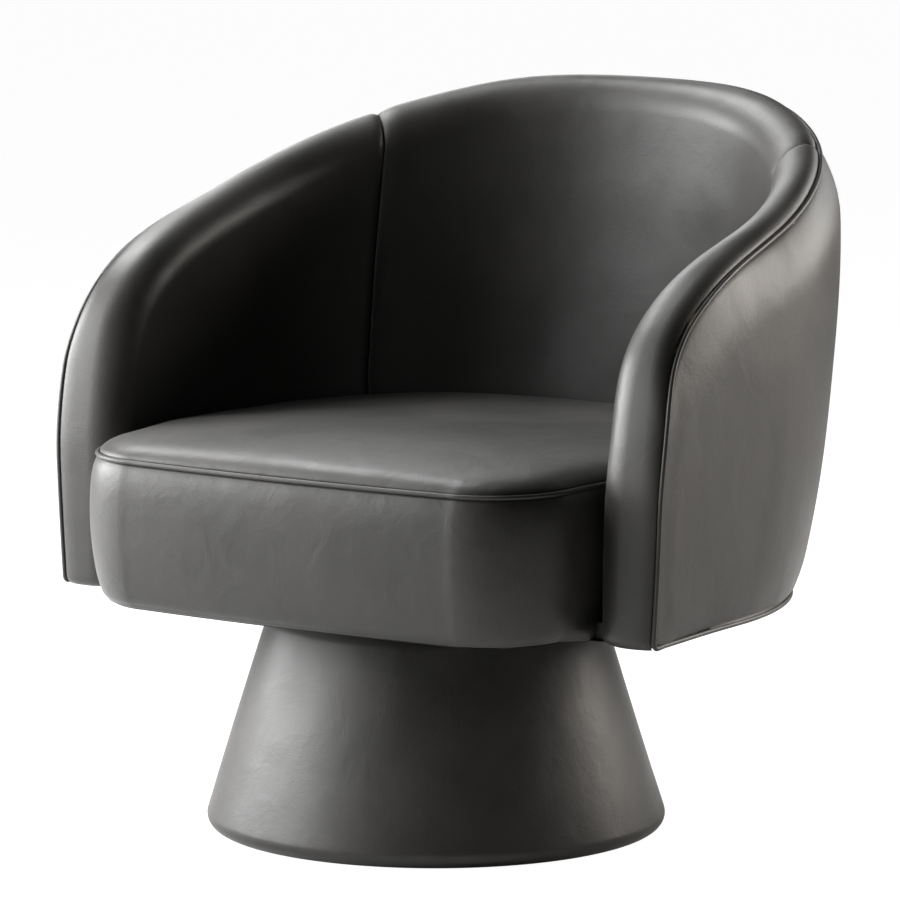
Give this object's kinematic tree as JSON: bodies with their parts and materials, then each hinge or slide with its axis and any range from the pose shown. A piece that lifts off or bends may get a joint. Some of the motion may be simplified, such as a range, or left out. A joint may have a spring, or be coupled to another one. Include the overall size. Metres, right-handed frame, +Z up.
{
  "type": "swivel tub armchair",
  "caption": "Upholstered barrel armchair with curved back and arms, piped leather panels and a crowned seat, turning on a leather covered conical pedestal.",
  "frame": {"origin": "centre of the pedestal's felt pad at the floor, on the swivel axis", "axes": "+Z up along the swivel axis, the sitter faces -Y, +X to the right seen from the front"},
  "size_m": [0.7702, 0.7715, 0.77],
  "materials": {
    "leather": "smooth aniline-look leather, dark grey, soft sheen",
    "felt": "pressed felt",
    "plywood": "birch plywood, unfinished",
    "beech": "beech, planed",
    "wadding": "polyester wadding",
    "foam": "polyurethane foam",
    "firm_foam": "firm polyurethane foam",
    "dust_cloth": "black spunbond cloth",
    "zinc_steel": "zinc plated",
    "dark_steel": "black oxide",
    "roller_steel": "polished",
    "nylon": "moulded nylon"
  },
  "bodies": {
    "pedestal": {"base_felt_pad": "felt", "base_bottom_disc": "plywood", "base_cone_shell": "plywood", "base_wadding": "wadding", "base_cover": "leather", "base_ribs": "plywood", "base_top_disc": "plywood", "swivel_lower_plate": "zinc_steel", "lower_screws": "dark_steel", "king_pin": "dark_steel", "king_washer": "nylon", "king_nut": "zinc_steel"},
    "bearing": {"roller_cage": "nylon", "rollers": "roller_steel"},
    "tub": {"tub_shell": "plywood", "outer_wadding": "wadding", "outer_cover": "leather", "rim_piping": "leather", "seat_board": "plywood", "swivel_upper_plate": "zinc_steel", "upper_screws": "dark_steel", "shell_screws": "zinc_steel", "dust_cover": "dust_cloth", "arm_block_right": "beech", "arm_block_left": "beech", "arm_cover_right": "leather", "arm_foam_right": "foam", "arm_cover_left": "leather", "arm_foam_left": "foam", "back_cover": "leather", "back_foam": "foam", "seat_foam_core": "firm_foam", "seat_foam_top": "foam", "seat_top_cover": "leather", "seat_band": "leather", "seat_piping": "leather"}
  },
  "joints": [
    {"name": "swivel", "type": "hinge", "parent": "pedestal", "child": "tub", "pos_m": [0, 0, 0.2445], "axis": [0, 0, 1], "continuous": true},
    {"name": "cage_spin", "type": "hinge", "parent": "pedestal", "child": "bearing", "pos_m": [0, 0, 0.2445], "axis": [0, 0, 1], "continuous": true}
  ],
  "couplings": [
    {"joint": "cage_spin", "follows": "swivel", "ratio": 0.5}
  ]
}
